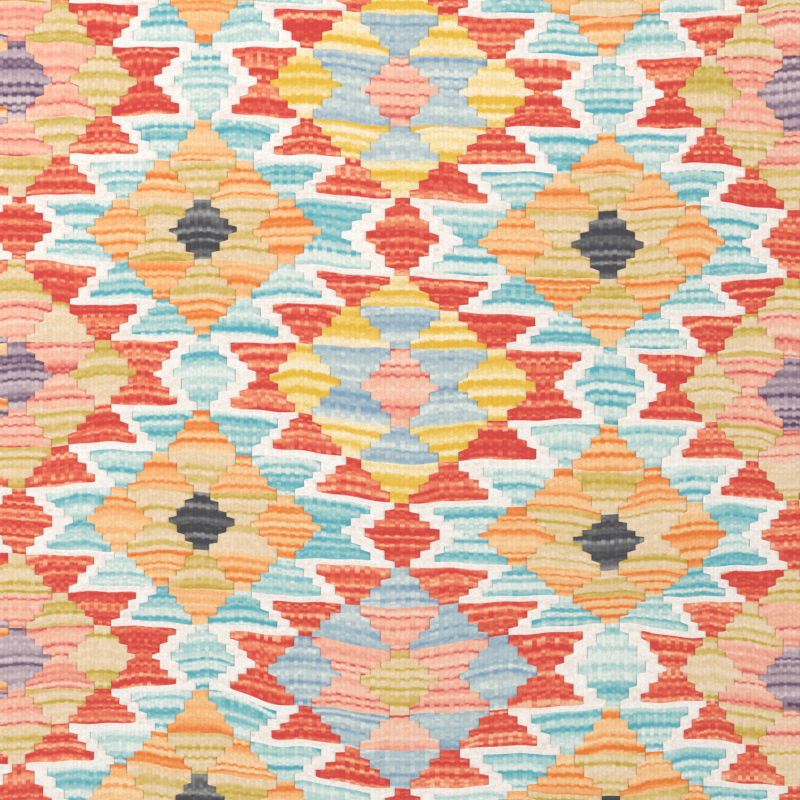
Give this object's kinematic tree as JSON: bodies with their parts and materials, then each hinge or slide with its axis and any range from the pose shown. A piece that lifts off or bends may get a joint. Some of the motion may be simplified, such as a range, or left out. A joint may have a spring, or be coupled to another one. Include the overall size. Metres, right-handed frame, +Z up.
{
  "type": "kilim rug",
  "caption": "Flat cut length of wool kilim: a slit-tapestry cloth with raised warp ribs above and a flat underside, lying flat.",
  "frame": {"origin": "middle of the flat underside", "axes": "+Z up off the surface the rug lies on, +X along the wefts, +Y along the warps and their ribs"},
  "size_m": [0.5012, 0.5026, 0.004],
  "materials": {
    "wool_red": "matte wool weft, madder red with orange-red streaks",
    "wool_white": "matte wool weft, undyed white",
    "wool_turquoise": "matte wool weft, turquoise with pale aqua streaks",
    "wool_orange": "matte wool weft, apricot with orange streaks",
    "wool_olive": "matte wool weft, beige with olive streaks",
    "wool_charcoal": "matte wool weft, charcoal with grey streaks",
    "wool_rose": "matte wool weft, rose with thin dark streaks",
    "wool_violet": "matte wool weft, greyed violet with dark streaks",
    "wool_gold": "matte wool weft, gold and cream",
    "wool_blue": "matte wool weft, pale blue with mid blue streaks"
  },
  "bodies": {
    "root": {"kilim": "wool_red"}
  },
  "joints": []
}
